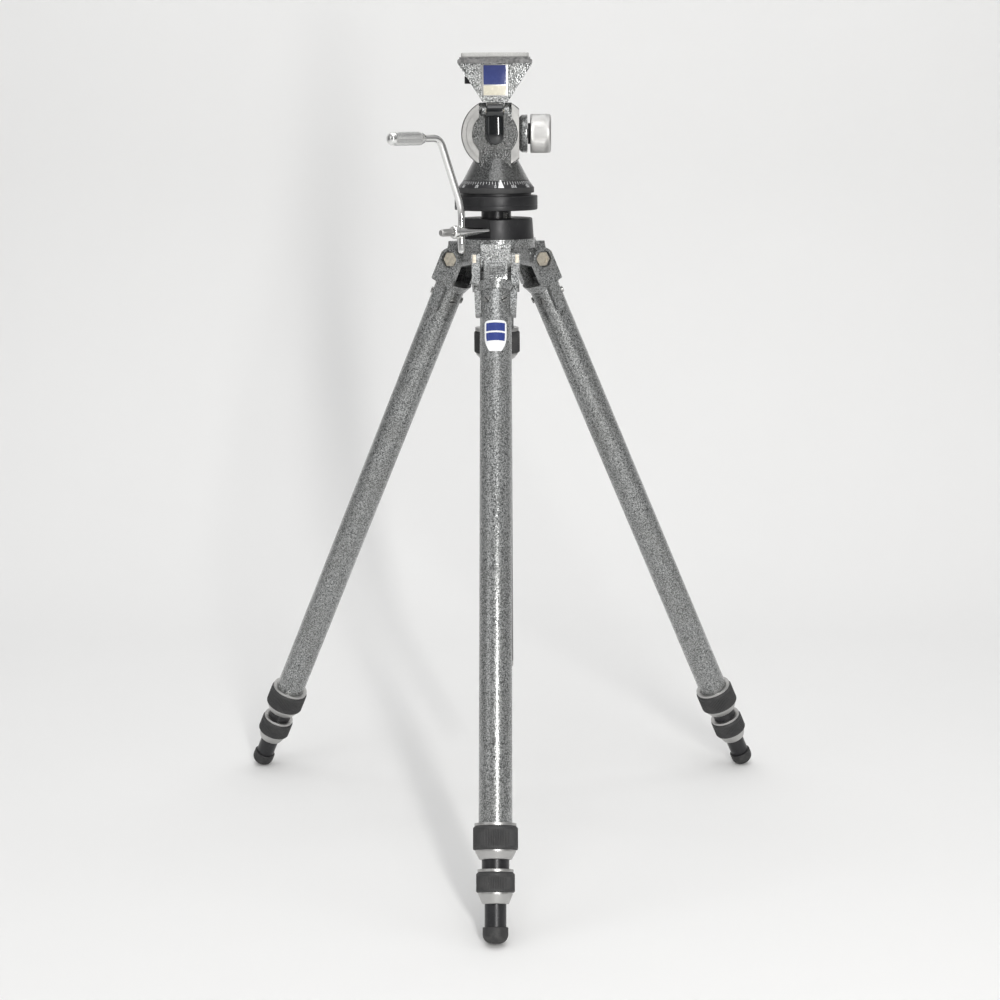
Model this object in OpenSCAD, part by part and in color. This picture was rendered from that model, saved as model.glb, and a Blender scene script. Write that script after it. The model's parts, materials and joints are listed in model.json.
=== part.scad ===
// Folding camera tripod with a geared centre column and a pan and tilt head.
// Millimetres, +Z up, feet on Z = 0, front leg towards -Y.
// The origin is the middle of the footprint's box, so the column stands a little behind it.

/* [Leg] */
// Angle of each leg from the vertical when it rests on its stop
splay = 25.5; // [20:0.5:30]
// Distance of a leg's pivot from the column's axis
pivot_r = 37.6; // [37:0.1:40]
// Length from the pivot to the sole of the foot
leg_len = 591.6; // [560:0.1:640]
// Outside radius of the upper leg tube
upper_r = 14; // [13.8:0.05:14]
// Outside radius of the middle leg tube
middle_r = 11.35; // [11:0.05:11.4]
// Outside radius of the lower leg tube
lower_r = 8.95; // [8.5:0.05:9]
// Wall of the leg tubes
tube_wall = 1.2; // [0.8:0.1:1.5]
// Outside radius of the rubber foot
foot_r = 10.55; // [10:0.05:12]
// Radius of the rounding of the foot's sole
foot_round = 7.5; // [5:0.5:8]
// Distance along the leg from the pivot to the upper twist lock
upper_lock_t = 494.6; // [440:0.1:500]
// Distance along the leg from the pivot to the lower twist lock
lower_lock_t = 532; // [531:0.1:540]

/* [Fork] */
// Width between the outer faces of the fork's ears
fork_w = 43.5; // [43:0.1:46]
// Width of the slot between the ears
fork_slot = 27.6; // [27.4:0.1:28]
// Radius of the ear around the pivot
ear_r = 10.5; // [10:0.1:10.6]
// Radius of the pivot bolt's shank
bolt_r = 4; // [3:0.1:4.5]

/* [Column] */
// Outside radius of the centre column
column_r = 13.5; // [13:0.1:13.5]
// Height of the column's lower end
column_foot_z = 150; // [120:1:200]
// Height of the pinion's axis above the ground
pinion_z = 564; // [563.8:0.1:564.2]
// Distance of the pinion's axis from the column's axis
pinion_off = 19.8; // [19.8:0.1:20]
// Number of teeth on the pinion
pinion_teeth = 18; // [18:1:18]
// Module of the rack and the pinion
gear_module = 0.8; // [0.8:0.1:0.8]
// Direction in which the crank's spindle leaves the housing, from +X
crank_az = 220; // [215:1:225]
// Radius of the column's top plate
plate_r = 37.6; // [36:0.1:38]

/* [Crank] */
// Distance along the spindle to the crank's rod
crank_s = 57; // [57:0.5:60]
// Radius of the crank's rod
crank_rod_r = 3.2; // [3:0.1:3.5]
// Height of the grip above the spindle at rest
crank_arm = 81.5; // [70:0.5:90]
// Radius of the crank's grip
crank_grip_r = 5.8; // [5:0.1:7]

/* [Head] */
// Radius of the drum for the sideways tilt
drum_r = 30.6; // [30:0.1:31]
// Height of the drum's axis
drum_z = 648.5; // [648:0.1:650]
// Half of the drum's length
drum_half = 16; // [15:0.5:16]
// Radius of the cheeks that hold the drum
cheek_r = 20.2; // [19:0.1:21]
// Radius of the clamp knob
knob_r = 17.3; // [15:0.1:18]
// Height of the hinge of the forward tilt
hinge_z = 671; // [671:0.1:671.5]
// Width of the camera platform's rim
platform_w = 66; // [60:1:70]
// Depth of the camera platform from front to back
platform_d = 50; // [46:1:54]

/* [Hidden] */
$fn = 96;
HAMMER = "slategray";
SATIN = "lightgray";
CHROME = "silver";
RUBBER = "dimgray";
BLACK = "black";
run = 0.07;                       // running clearance of a shaft, on the radius
gap = 0.3;                        // clearance between two parts that only pass each other

// Foot: the centre of the sole's rounding, along the leg and out from its axis
sole_t = leg_len - foot_round;
sole_x = foot_r - foot_round;
pivot_z = sole_t * cos(splay) + sole_x * sin(splay) + foot_round;
// Furthest reach of the front foot, and of the two back feet, from the column's axis
reach_front = pivot_r + sole_t * sin(splay) + sole_x * cos(splay) + foot_round;
back_dot = sin(30) * sin(splay);
reach_back = sin(30) * pivot_r + sole_t * back_dot + sole_x * sqrt(1 - back_dot * back_dot) + foot_round;
column_y = (reach_front - reach_back) / 2;

LEGS = ["front", "right", "left"];
LEG_AZ = [270, 30, 150];

// Fork and bolt
ear_in = fork_slot / 2;
lug_half = 13.5;
nut_af = 12;
nut_t = 3.2;
head_y = fork_w / 2 - nut_t - 1.8; // underside of the bolt's head
ear_end_t = 24.5;
crown_t = 22;
crown_end_t = 29.4;
fork_end_t = 50.7;
tube_top_t = 27;

// Twist locks: [start, lip end, grip end, nut end] along the leg
upper_lock = [upper_lock_t, upper_lock_t + 2.4, upper_lock_t + 21.9, upper_lock_t + 29.7];
lower_lock = [lower_lock_t, lower_lock_t + 2.4, lower_lock_t + 18.8, lower_lock_t + 28];
foot_top_t = leg_len - 13.2;

// Housing and column
ring_lo = 547.2;
ring_hi = 555.7;
collar_hi = 573.6;
plate_lo = 581;
plate_hi = 593.8;
pitch = PI * gear_module;
pitch_r = pinion_teeth * gear_module / 2;
rack_line = pinion_off - pitch_r;
tooth_out = 0.65;
tooth_in = 0.95;
gear_half = 2.2;
rack_w = 5;
rack_below = 101;                 // teeth below the pinion's axis at rest
rack_above = 6;                   // teeth above it
shaft_r = 1.7;
flat_s = 25;
lock_z = 445;

// Head
scale_lo = 601.2;
scale_hi = 607.5;
stud_r = 5;
stud_head_r = 10;
stud_head_z = 611.2;
saddle_r = drum_r + gap;
ear_x = [8.2, 14.6];
wedge_lo = 676.3;
wedge_hi = 709.7;
band_hi = 713.3;
wedge_half_lo = 11.2;
pad_lo = 715;
pad_hi = 719;
front_y = -17;
back_y = 13;
lever_y = -26;
lever_z = 668.5;
yoke_z = 662;                     // flat on the drum under the yoke
arm_z = 667.6;                    // underside of the yoke's arms, above the cheek
arm_top = 672;
arm_x = 11.2;                     // outer faces of the yoke's arms

function leg_nodes(n) = [for (p = ["fork", "upper_tube", "stop_tab", "upper_lock_nut", "upper_lock_grip",
    "middle_tube", "lower_lock_nut", "lower_lock_grip", "lower_tube", "foot"]) str(n, "_", p)];

// ---- placing ----
// Puts children in a leg's own frame: pivot at the origin, +X outwards, +Y along the bolt,
// and the leg running down -Z.
module in_leg(k) {
    translate([0, column_y, pivot_z]) rotate([0, 0, LEG_AZ[k]]) translate([pivot_r, 0, 0])
        rotate([0, -splay, 0]) children();
}

// The same place without the splay, for what belongs to the spider
module at_pivot(k) {
    translate([0, column_y, pivot_z]) rotate([0, 0, LEG_AZ[k]]) translate([pivot_r, 0, 0]) children();
}

// Puts children around the column's axis, with heights above the ground
module on_column() {
    translate([0, column_y, 0]) children();
}

// Puts children in the crank's frame: origin on the spindle beside the column,
// +Z outwards along the spindle, +Y up, and -X towards the column.
module on_spindle() {
    on_column() rotate([0, 0, crank_az]) translate([0, pinion_off, pinion_z])
        rotate([90, 0, 90]) children();
}

// Puts children in the drum's frame: +Z towards the front
module on_drum() {
    translate([0, column_y, drum_z]) rotate([90, 0, 0]) children();
}

// A turned part from [radius, distance along the leg] points
module turned_on_leg(points) {
    rotate_extrude() polygon([for (p = points) [p[0], -p[1]]]);
}

// A plain tube along the leg
module leg_tube(t0, t1, ro, ri) {
    turned_on_leg([[ri, t0], [ro, t0], [ro, t1], [ri, t1]]);
}

// A prism drawn in the leg's side view, centred on the leg's middle plane
module side_prism(width) {
    rotate([90, 0, 0]) translate([0, 0, -width / 2]) linear_extrude(width) children();
}

// ---- spider and its bolts ----
module spider() {
    color(HAMMER) {
        difference() {
            union() {
                on_column() translate([0, 0, ring_lo]) cylinder(h = ring_hi - ring_lo, r = 36);
                for (k = [0 : 2]) at_pivot(k) spider_lug();
            }
            on_column() translate([0, 0, ring_lo - 20]) cylinder(h = 40, r = column_r + run);
            on_column() translate([0, 0, ring_lo - 20]) cylinder(h = 20 + 3, r = 15.5);
            for (k = [0 : 2]) at_pivot(k)
                rotate([90, 0, 0]) translate([0, 0, -30]) cylinder(h = 60, r = bolt_r);
        }
    }
}

module spider_lug() {
    ring_top = ring_hi - pivot_z;
    side_prism(2 * lug_half) union() {
        circle(r = 9);
        polygon([[-15, ring_top], [-4.4, ring_top], [-3.4, ring_top - 3.5], [5.4, ring_top - 3.5],
            [6.2, ring_top - 8], [9, 1], [0, -2], [-9, 0]]);
    }
}

// Pivot bolt with its hexagon head at one end, and its nut at the other
module pivot_bolts() {
    color("tan") for (k = [0 : 2]) at_pivot(k) rotate([90, 0, 0]) {
        translate([0, 0, -head_y - nut_t]) cylinder(h = 2 * head_y + nut_t, r = bolt_r);
        translate([0, 0, -head_y - nut_t]) cylinder(h = nut_t, r = nut_af / sqrt(3), $fn = 6);
        difference() {
            translate([0, 0, head_y]) cylinder(h = nut_t, r = nut_af / sqrt(3), $fn = 6);
            translate([0, 0, head_y - 1]) cylinder(h = nut_t + 2, r = bolt_r);
        }
        translate([0, 0, head_y]) cylinder(h = nut_t - 0.6, r = bolt_r);
    }
}

// ---- leg ----
module leg_fork() {
    half = fork_w / 2;
    color(HAMMER) difference() {
        union() {
            // ears, joined by the crown
            side_prism(2 * half - 1.6) union() {
                circle(r = ear_r);
                polygon([[-ear_r, 0], [ear_r, 0], [ear_r, 1 - ear_end_t], [ear_r - 1, -ear_end_t],
                    [1 - ear_r, -ear_end_t], [-ear_r, 1 - ear_end_t]]);
            }
            // raised rims around the bolt
            rotate([90, 0, 0]) translate([0, 0, -half]) cylinder(h = 2 * half, r = 9.6);
            // cone around the tube's top, and two straps down its sides
            turned_on_leg([[0, crown_t], [18.2, crown_t], [14.9, crown_end_t], [0, crown_end_t]]);
            rotate([90, 0, 90]) translate([0, 0, -5]) linear_extrude(10)
                polygon([[-19.3, -crown_t - 1], [19.3, -crown_t - 1], [18.1, 0.8 - fork_end_t],
                    [17.5, -fork_end_t], [-17.5, -fork_end_t], [-18.1, 0.8 - fork_end_t]]);
        }
        // slot for the spider's lug
        translate([-30, -ear_in, -crown_t]) cube([60, 2 * ear_in, crown_t + 20]);
        // bolt hole and the pockets for its head and its nut
        rotate([90, 0, 0]) translate([0, 0, -half - 1]) cylinder(h = 2 * half + 2, r = bolt_r + run);
        for (m = [0, 1]) mirror([0, m, 0]) rotate([90, 0, 0])
            translate([0, 0, head_y - 0.15]) cylinder(h = nut_t + 4, r = 7.7);
        // socket for the upper tube
        translate([0, 0, -fork_end_t - 1]) cylinder(h = fork_end_t + 1 - tube_top_t, r = upper_r);
    }
}

// Spring-loaded tab that the fingers pull out to let the leg pass its stop
module stop_tab() {
    color(HAMMER) {
        difference() {
            union() {
                side_prism(21.4) polygon([[10.2, -3.5], [13.6, -2.2], [15.6, -5], [15.6, -18.5],
                    [13.8, -crown_t + gap], [10.2, -crown_t + gap]]);
                side_prism(16) polygon([[-4, -18.6], [11, -18.6], [11, -crown_t + gap], [-4, -crown_t + gap]]);
            }
            translate([15, -8, -17]) cube([2, 16, 10]);
        }
    }
}

module upper_tube() {
    color(HAMMER) leg_tube(tube_top_t, upper_lock[2] - 4.5, upper_r, upper_r - tube_wall);
    color(BLACK) leg_tube(upper_lock[2] - 4.5, upper_lock[2] + 2.5, upper_r - 0.2, middle_r + run);
}

module middle_tube() {
    end_t = lower_lock[2] - 4.8;
    color(BLACK) {
        leg_tube(80, end_t, middle_r, middle_r - 1.1);
        leg_tube(66, 80, upper_r - tube_wall - run, lower_r + 0.6);
        leg_tube(end_t, end_t + 6, middle_r - 0.15, lower_r + run);
    }
}

module lower_tube() {
    color(BLACK) {
        leg_tube(96, leg_len - 5.6, lower_r, lower_r - 1);
        leg_tube(84, 96, middle_r - 1.1 - run, 4);
    }
}

// Metal nut of a twist lock: start, lip end, grip end and nut end along the leg,
// the tube that it screws on, the tube that it grips, and its radius under the grip
module lock_nut(t, tube_r, inner_r, r) {
    bore = tube_r + run;
    step = t[2] + 2.8;
    color(SATIN) turned_on_leg([[bore, t[0]], [r + 0.6, t[0]], [r + 1.1, t[0] + 0.5], [r + 1.1, t[1]],
        [r, t[1]], [r, t[2]], [r + 0.4, t[2]], [r + 0.2, t[2] + 1.6], [inner_r + 2.2, t[3] - 0.5],
        [inner_r + 1.7, t[3]], [inner_r + gap, t[3]], [inner_r + gap, step], [bore, step]]);
}

module lock_grip(t, r, grip_r) {
    color(RUBBER) turned_on_leg([[r, t[1]], [grip_r - 1.4, t[1]], [grip_r, t[1] + 1.4],
        [grip_r, t[2] - 0.8], [grip_r - 0.8, t[2]], [r, t[2]]]);
}

module foot() {
    color(RUBBER) difference() {
        union() {
            leg_tube(foot_top_t, sole_t, foot_r, 0);
            rotate_extrude() translate([0, -sole_t]) intersection() {
                union() {
                    translate([sole_x, 0]) circle(r = foot_round);
                    translate([0, -foot_round]) square([sole_x, foot_round]);
                }
                translate([0, -foot_round - 1]) square([foot_r + 1, foot_round + 1]);
            }
        }
        leg_tube(foot_top_t - 1, leg_len - 5.6, lower_r, 0);
    }
}

// ---- column ----
module gear_housing() {
    color(BLACK) difference() {
        on_column() rotate_extrude() polygon([[column_r + run, ring_hi], [34, ring_hi], [33.9, ring_hi + 3],
            [32.9, collar_hi - 0.8], [32.1, collar_hi], [column_r + run, collar_hi]]);
        // pocket for the pinion, open below
        on_spindle() translate([0, 0, -gear_half - gap]) cylinder(h = 2 * (gear_half + gap), r = 8.2);
        on_spindle() translate([-8.2, -20, -gear_half - gap]) cube([16.4, 20, 2 * (gear_half + gap)]);
        // bearing for the spindle, and the flat that it leaves through
        on_spindle() translate([0, 0, -10]) cylinder(h = 50, r = shaft_r + 0.05);
        on_spindle() translate([-60, -6.8, flat_s]) cube([90, 30, 30]);
    }
}

module housing_sleeve() {
    color(BLACK) on_column() {
        rotate_extrude() polygon([[column_r + run, 455], [15.5, 455], [15.5, ring_lo + 3],
            [column_r + run, ring_lo + 3]]);
        rotate_extrude() polygon([[column_r + run, 448.5], [15.2, 448.5], [15.2, 455], [column_r + run, 455]]);
    }
}

module column_lock_nut() {
    color(SATIN) on_column() rotate_extrude() polygon([[13.9, lock_z], [15, lock_z], [15.6, lock_z + 0.6],
        [18.9, lock_z + 5], [18.9, lock_z + 6], [18.4, lock_z + 6], [18.4, lock_z + 26], [20, lock_z + 26],
        [20, lock_z + 28.2], [19.2, lock_z + 29], [15.5 + run, lock_z + 29], [15.5 + run, lock_z + 3.2],
        [13.9, lock_z + 3.2]]);
}

module column_lock_grip() {
    color(RUBBER) on_column() rotate_extrude() polygon([[18.4, lock_z + 6], [20.2, lock_z + 6],
        [21, lock_z + 6.8], [21, lock_z + 24.8], [19.8, lock_z + 26], [18.4, lock_z + 26]]);
}

module column_tube() {
    color(BLACK) difference() {
        on_column() rotate_extrude() polygon([[11.9, column_foot_z + 6], [column_r, column_foot_z + 6],
            [column_r, plate_hi - 5], [11.9, plate_hi - 5]]);
        // slot for the rack
        on_spindle() translate([-pinion_off, -rack_below * pitch, -rack_w / 2])
            cube([column_r + 2, (rack_below + rack_above) * pitch, rack_w]);
    }
}

// Toothed strip let into the column
module column_rack() {
    back = rack_line - tooth_in - 1.6;
    root = rack_line - tooth_in;
    low = -rack_below * pitch;
    high = rack_above * pitch;
    color("darkgray") on_spindle() translate([-pinion_off, 0, -rack_w / 2]) linear_extrude(rack_w)
        polygon(concat([[back, low], [root, low]],
            [for (i = [-rack_below : rack_above - 1]) each rack_tooth((i + 0.5) * pitch)],
            [[root, high], [back, high]]));
}

function rack_tooth(at) = [
    [rack_line - tooth_in, at - 0.29 * pitch],
    [rack_line + tooth_out, at - 0.1 * pitch],
    [rack_line + tooth_out, at + 0.1 * pitch],
    [rack_line - tooth_in, at + 0.29 * pitch]];

module column_end_cap() {
    color(SATIN) on_column() rotate_extrude() polygon([[0, column_foot_z], [12.6, column_foot_z],
        [column_r, column_foot_z + 0.9], [column_r, column_foot_z + 6], [11.9, column_foot_z + 6],
        [11.9, column_foot_z + 16], [0, column_foot_z + 16]]);
}

module column_plate() {
    color(BLACK) on_column() difference() {
        rotate_extrude() polygon([[0, plate_lo], [plate_r - 1, plate_lo], [plate_r, plate_lo + 1],
            [plate_r, plate_hi - 0.8], [plate_r - 0.8, plate_hi], [32, plate_hi], [32, plate_hi + 2.5],
            [0, plate_hi + 2.5]]);
        translate([0, 0, plate_lo - 1]) cylinder(h = plate_hi - 5 - plate_lo + 1, r = column_r);
        translate([0, 0, plate_lo - 1]) cylinder(h = 40, r = stud_r);
    }
}

module pan_ring() {
    base = plate_hi + 2.5;
    color(BLACK) on_column() rotate_extrude() polygon([[6, base], [34, base], [34.5, base + 0.5],
        [34.5, scale_lo - 0.5], [34, scale_lo], [6, scale_lo]]);
}

// Graduated skirt that the index reads
module scale_ring() {
    color(BLACK) on_column() rotate_extrude() polygon([[14, scale_lo], [34.2, scale_lo],
        [29.8, scale_hi - gap], [14, scale_hi - gap]]);
}

// Stud that holds the head down on the column, and lets it pan
module head_stud() {
    color(SATIN) on_column() {
        translate([0, 0, plate_hi - 5]) cylinder(h = stud_head_z + 4 - plate_hi + 5, r = stud_r);
        translate([0, 0, stud_head_z]) cylinder(h = 4.2, r = stud_head_r);
    }
}

// ---- crank ----
module pinion_shaft() {
    half = 180 / pinion_teeth;
    root = pitch_r - tooth_in;
    tip = pitch_r + tooth_out;
    color("gold") on_spindle() {
        translate([0, 0, -gear_half]) linear_extrude(2 * gear_half)
            polygon([for (i = [0 : pinion_teeth - 1]) each [
                for (c = [[root, -0.62], [tip, -0.2], [tip, 0.2], [root, 0.62]])
                    c[0] * [cos(180 + (2 * i + c[1]) * half), sin(180 + (2 * i + c[1]) * half)]]]);
        translate([0, 0, -9.5]) cylinder(h = 59.5, r = shaft_r);
    }
}

module crank_hub() {
    rod_hole = crank_rod_r + run;
    color(CHROME) on_spindle() difference() {
        rotate_extrude() polygon([[0, flat_s + gap], [2.3, flat_s + gap], [2.6, 36], [3.8, 48], [5, 54],
            [5, 60.4], [5.75, 61.2], [5.75, 64.6], [4.9, 66], [0, 66]]);
        translate([0, 0, 10]) cylinder(h = 40, r = shaft_r);
        rotate([90, 0, 0]) translate([0, crank_s, -20]) cylinder(h = 40, r = rod_hole);
        translate([0, 0, 60]) cylinder(h = 10, r = 2 + run);
    }
}

// Rod that slides through the hub, leans outwards and turns into the grip, with round knuckles
// at its bends
module crank_arm() {
    r = crank_rod_r;
    knuckle = r + 0.12;
    low = -19;
    knee = [21, crank_s];
    elbow = [crank_arm - 11, crank_s + 19];
    top = [crank_arm, crank_s + 30];
    lean = atan((elbow[1] - knee[1]) / (elbow[0] - knee[0]));
    color(CHROME) on_spindle() rotate([0, 0, 90]) {
        translate([low, 0, crank_s]) rotate([0, 90, 0]) rotate_extrude()
            polygon([[0, 0], [1.4, 0], [2.6, 0.7], [r, 2], [r, knee[0] - low], [0, knee[0] - low]]);
        translate([knee[0], 0, knee[1]]) sphere(r = knuckle);
        translate([knee[0], 0, knee[1]]) rotate([0, 90 - lean, 0]) cylinder(h = norm(elbow - knee), r = r);
        translate([elbow[0], 0, elbow[1]]) sphere(r = knuckle);
        translate([elbow[0], 0, elbow[1]]) rotate([0, 45, 0]) cylinder(h = norm(top - elbow), r = r);
        translate([top[0], 0, top[1]]) sphere(r = knuckle);
        translate([top[0], 0, top[1]]) cylinder(h = 8, r = r);
    }
}

module crank_grip() {
    start = crank_s + 30 + 8;
    color(CHROME) on_spindle() translate([0, crank_arm, start]) rotate_extrude()
        polygon([[0, 0], [3.3, 0], [crank_grip_r, 4], [crank_grip_r, 34], [4.8, 37], [2.4, 38.6], [0, 38.8]]);
}

// Small thumbscrew in the hub's end that grips the rod
module hub_screw() {
    color(SATIN) on_spindle() rotate_extrude() polygon([[0, crank_s + crank_rod_r + 0.4],
        [2, crank_s + crank_rod_r + 0.4], [2, 66.3], [3.3, 66.3], [3.3, 78], [2.6, 79], [0, 79]]);
}

// ---- head ----
// Panning base: a cone, with two cheeks that hold the drum between them
module pan_base() {
    color(HAMMER) difference() {
        union() {
            on_column() rotate_extrude() polygon([[0, scale_hi], [29.8, scale_hi], [19.2, 627], [14.8, 635],
                [0, 635]]);
            on_drum() translate([0, 0, -19]) cylinder(h = 38, r = cheek_r);
            translate([-14, column_y - 19, 618]) cube([28, 38, 20]);
        }
        // room for the drum
        on_drum() translate([0, 0, -drum_half - 0.2]) cylinder(h = 2 * drum_half + 0.4, r = saddle_r);
        // scooped faces in front of and behind the cheeks
        for (m = [0, 1]) translate([0, column_y, drum_z]) mirror([0, m, 0]) rotate([90, 0, 0])
            translate([0, 0, 19]) cylinder(h = 12, r1 = cheek_r, r2 = cheek_r + 18);
        on_drum() translate([0, 0, -30]) cylinder(h = 60, r = 6);
        // pocket for the stud's head
        on_column() translate([0, 0, 600]) cylinder(h = 20, r = stud_r + run);
        on_column() translate([0, 0, stud_head_z - 0.1]) cylinder(h = 20, r = stud_head_r + gap);
    }
}

// Axle through the cheeks and the drum
module tilt_axle() {
    color(SATIN) on_drum() translate([0, 0, -18.9]) cylinder(h = 37.8, r = 6);
}

// Drum: turned about the sideways-tilt axis, flat on the clamp's side and under the yoke
module drum_body() {
    color(SATIN) difference() {
        on_drum() rotate_extrude() polygon([[6 + run, -drum_half], [25.7, -drum_half],
            [25.7, -drum_half + 1.4], [26.2, -drum_half + 1.4], [26.2, -drum_half + 0.8],
            [drum_r - 1, -drum_half + 0.8], [drum_r, -drum_half + 1.8], [drum_r, drum_half - 1.8],
            [drum_r - 1, drum_half - 0.8], [26.2, drum_half - 0.8], [26.2, drum_half - 1.4],
            [25.7, drum_half - 1.4], [25.7, drum_half], [6 + run, drum_half]]);
        translate([21.2, column_y - 20, drum_z - 25]) cube([20, 40, 50]);
        translate([-ear_x[1], column_y - 20, yoke_z]) cube([2 * ear_x[1], 40, 30]);
        translate([14, column_y, drum_z]) rotate([0, 90, 0]) cylinder(h = 20, r = 4 + run);
    }
}

// Yoke on the drum: low ears at the hinge, and higher arms that reach over the front cheek
// to the lock lever
module yoke() {
    wide = ear_x[1] - ear_x[0];
    arm_w = arm_x - ear_x[0];
    half_y = drum_half - 0.4;
    color(HAMMER) difference() {
        union() {
            translate([-ear_x[1], column_y - half_y, yoke_z]) cube([2 * ear_x[1], 2 * half_y, 3.6]);
            for (m = [0, 1]) mirror([m, 0, 0]) translate([ear_x[0], column_y, 0]) {
                translate([0, 0, hinge_z]) rotate([0, 90, 0]) cylinder(h = wide, r = 5);
                translate([0, -5, yoke_z + 0.1]) cube([wide, 10, hinge_z - yoke_z - 0.1]);
                translate([0, lever_y, lever_z]) rotate([0, 90, 0]) cylinder(h = arm_w, r = 3.5);
                translate([0, lever_y, arm_z]) cube([arm_w, -lever_y - half_y + 3.6, arm_top - arm_z]);
                translate([0, -half_y, yoke_z + 0.1]) cube([arm_w, 3.6, arm_top - yoke_z - 0.1]);
            }
        }
        translate([-30, column_y, hinge_z]) rotate([0, 90, 0]) cylinder(h = 60, r = 2.5);
        translate([-30, column_y + lever_y, lever_z]) rotate([0, 90, 0]) cylinder(h = 60, r = 2 + run);
    }
}

module yoke_pin() {
    color(SATIN) translate([-ear_x[1], column_y, hinge_z]) rotate([0, 90, 0])
        cylinder(h = 2 * ear_x[1], r = 2.5);
}

// Conical boss of the drum's clamp
module clamp_boss() {
    color(HAMMER) translate([0, column_y, drum_z]) rotate([0, 90, 0]) rotate_extrude()
        polygon([[4 + run, 21.2], [14.4, 21.2], [16.4, 23.4], [16.8, 24], [16.8, 28.2], [16.2, 28.7],
            [4 + run, 28.7]]);
}

module clamp_knob() {
    color(SATIN) translate([0, column_y, drum_z]) rotate([0, 90, 0]) rotate_extrude()
        polygon([[0, 15], [4, 15], [4, 29], [9.3, 29], [9.3, 31.2], [knob_r - 0.8, 31.2], [knob_r, 32],
            [knob_r, 47.4], [knob_r - 0.6, 49], [knob_r - 2.4, 49.8], [0, 49.8]]);
}

// Lever with a rounded end that locks the forward tilt
module lock_lever() {
    w = 7.7;
    color(BLACK) {
        translate([-w, column_y + lever_y, lever_z]) rotate([0, 90, 0]) cylinder(h = 2 * w, r = 6.4);
        translate([-arm_x, column_y + lever_y, lever_z]) rotate([0, 90, 0]) cylinder(h = 2 * arm_x, r = 2);
        translate([-w, column_y + lever_y - 3, 646.8]) cube([2 * w, 7, lever_z - 646.8]);
        translate([0, column_y + lever_y + 4, 646.8]) rotate([90, 0, 0]) cylinder(h = 7, r = w);
    }
}

module camera_platform() {
    half_hi = platform_w / 2;
    rim_y = column_y - platform_d / 2;
    color(HAMMER) difference() {
        union() {
            // wedge
            translate([0, column_y + back_y, 0]) rotate([90, 0, 0]) linear_extrude(back_y - front_y)
                polygon([[-wedge_half_lo, wedge_lo], [wedge_half_lo, wedge_lo], [half_hi, wedge_hi],
                    [-half_hi, wedge_hi]]);
            // rim and table
            translate([0, column_y + platform_d / 2, 0]) rotate([90, 0, 0]) linear_extrude(platform_d)
                polygon([[-half_hi, wedge_hi], [half_hi, wedge_hi], [half_hi, band_hi - 1],
                    [half_hi - 1, band_hi], [1 - half_hi, band_hi], [-half_hi, band_hi - 1]]);
            translate([-31.3, rim_y + 1.7, band_hi]) cube([62.6, platform_d - 3.4, pad_lo - band_hi]);
            // hinge tongue
            translate([-ear_x[0] + gap, column_y, hinge_z]) rotate([0, 90, 0])
                cylinder(h = 2 * (ear_x[0] - gap), r = 5);
            translate([-ear_x[0] + gap, column_y - 5, hinge_z]) cube([2 * (ear_x[0] - gap), 10, 10]);
        }
        // room behind the front wall for the screw and its lever
        translate([0, column_y + back_y + 1, 0]) rotate([90, 0, 0]) linear_extrude(back_y - front_y - 5 + 1)
            polygon([[-9, 684], [9, 684], [21.5, 702], [-21.5, 702]]);
        // window for the lever in the left wall
        translate([-40, column_y - 8, 691]) cube([30, 40, 9.5]);
        // back of the wedge, cut away for the forward tilt
        translate([-40, column_y, 0]) rotate([90, 0, 90]) linear_extrude(80)
            polygon([[5.2, 660], [5.2, 696], [back_y + 1, 703], [back_y + 1, 660]]);
        // room for the yoke's ears
        for (m = [0, 1]) mirror([m, 0, 0]) translate([ear_x[0] - gap, column_y, hinge_z]) rotate([0, 90, 0])
            cylinder(h = 8, r = 5.4);
        translate([-30, column_y, hinge_z]) rotate([0, 90, 0]) cylinder(h = 60, r = 2.5 + run);
        translate([0, column_y, 690]) cylinder(h = 40, r = 3.1 + run);
    }
}

// Flat pad that the camera stands on
module platform_pad() {
    half_y = platform_d / 2 - 3;
    color(RUBBER) difference() {
        translate([0, column_y, pad_lo]) linear_extrude(pad_hi - pad_lo) intersection() {
            square([60, 2 * half_y], center = true);
            rotate(45) square([66, 66], center = true);
        }
        translate([0, column_y, pad_lo - 1]) cylinder(h = 10, r = 4.2);
    }
}

module badge_plate() {
    color("royalblue") translate([-11.5, column_y + front_y - 1.1, 681.5]) cube([23, 1.1, 27.5]);
}

// Captive screw for the camera, with the short lever that turns it
module camera_screw() {
    color(BLACK) translate([0, column_y, 0]) {
        translate([0, 0, 691.6]) cylinder(h = 26.4, r = 3.1);
        translate([0, 0, 691.6]) cylinder(h = 8.4, r = 6.8);
        rotate([0, 0, 172]) translate([0, -3, 692.6]) cube([24.5, 6, 6.4]);
        rotate([0, 0, 172]) translate([24.5, 0, 692.6]) cylinder(h = 6.4, r = 3.4);
    }
}

// ---- assembly ----
spider();
pivot_bolts();
gear_housing();
housing_sleeve();
for (k = [0 : 2]) {
    in_leg(k) leg_fork();
    in_leg(k) upper_tube();
    in_leg(k) stop_tab();
    in_leg(k) lock_nut(upper_lock, upper_r, middle_r, 16.4);
    in_leg(k) lock_grip(upper_lock, 16.4, 18.65);
    in_leg(k) middle_tube();
    in_leg(k) lock_nut(lower_lock, middle_r, lower_r, 13.8);
    in_leg(k) lock_grip(lower_lock, 13.8, 15.95);
    in_leg(k) lower_tube();
    in_leg(k) foot();
}
column_lock_nut();
column_lock_grip();
column_tube();
column_rack();
column_end_cap();
column_plate();
pan_ring();
scale_ring();
head_stud();
pinion_shaft();
crank_hub();
crank_arm();
crank_grip();
hub_screw();
pan_base();
tilt_axle();
drum_body();
yoke();
yoke_pin();
clamp_boss();
clamp_knob();
lock_lever();
camera_platform();
platform_pad();
badge_plate();
camera_screw();
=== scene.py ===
import json
import math

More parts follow.
